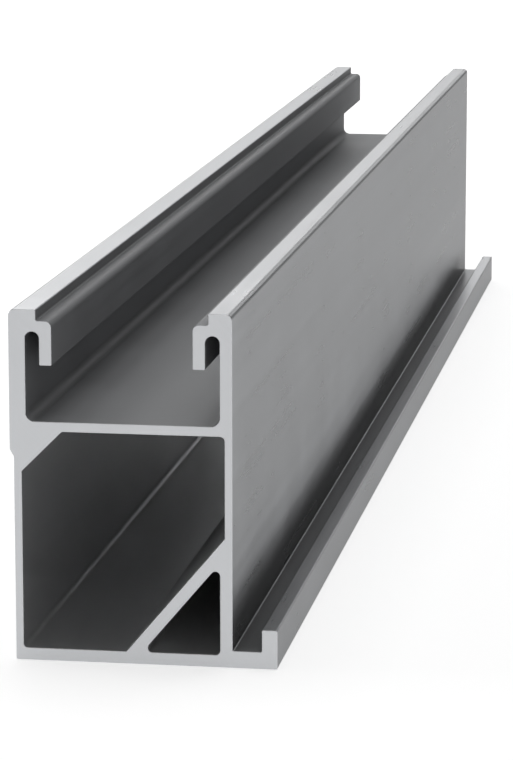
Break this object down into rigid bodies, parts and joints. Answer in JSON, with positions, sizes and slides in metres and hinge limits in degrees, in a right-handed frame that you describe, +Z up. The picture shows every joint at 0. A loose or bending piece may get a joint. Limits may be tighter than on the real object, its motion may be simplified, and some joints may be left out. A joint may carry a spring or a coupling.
{
  "type": "solar mounting rail",
  "caption": "Tall hollow rail extrusion with a lipped nut channel in its top, a sloping brace inside and a rimmed flange at its foot, for carrying solar panels.",
  "frame": {"origin": "centre of the whole section's width, flange included, at mid-length, on the underside", "axes": "+Y along the rail away from the end that the picture shows, +Z up out of the nut channel, +X towards the foot flange"},
  "size_m": [0.0452, 0.416, 0.06],
  "materials": {
    "aluminium": "bare extruded finish with fine lengthwise die lines, fine-sawn square ends"
  },
  "bodies": {
    "root": {"rail": "aluminium"}
  },
  "joints": []
}
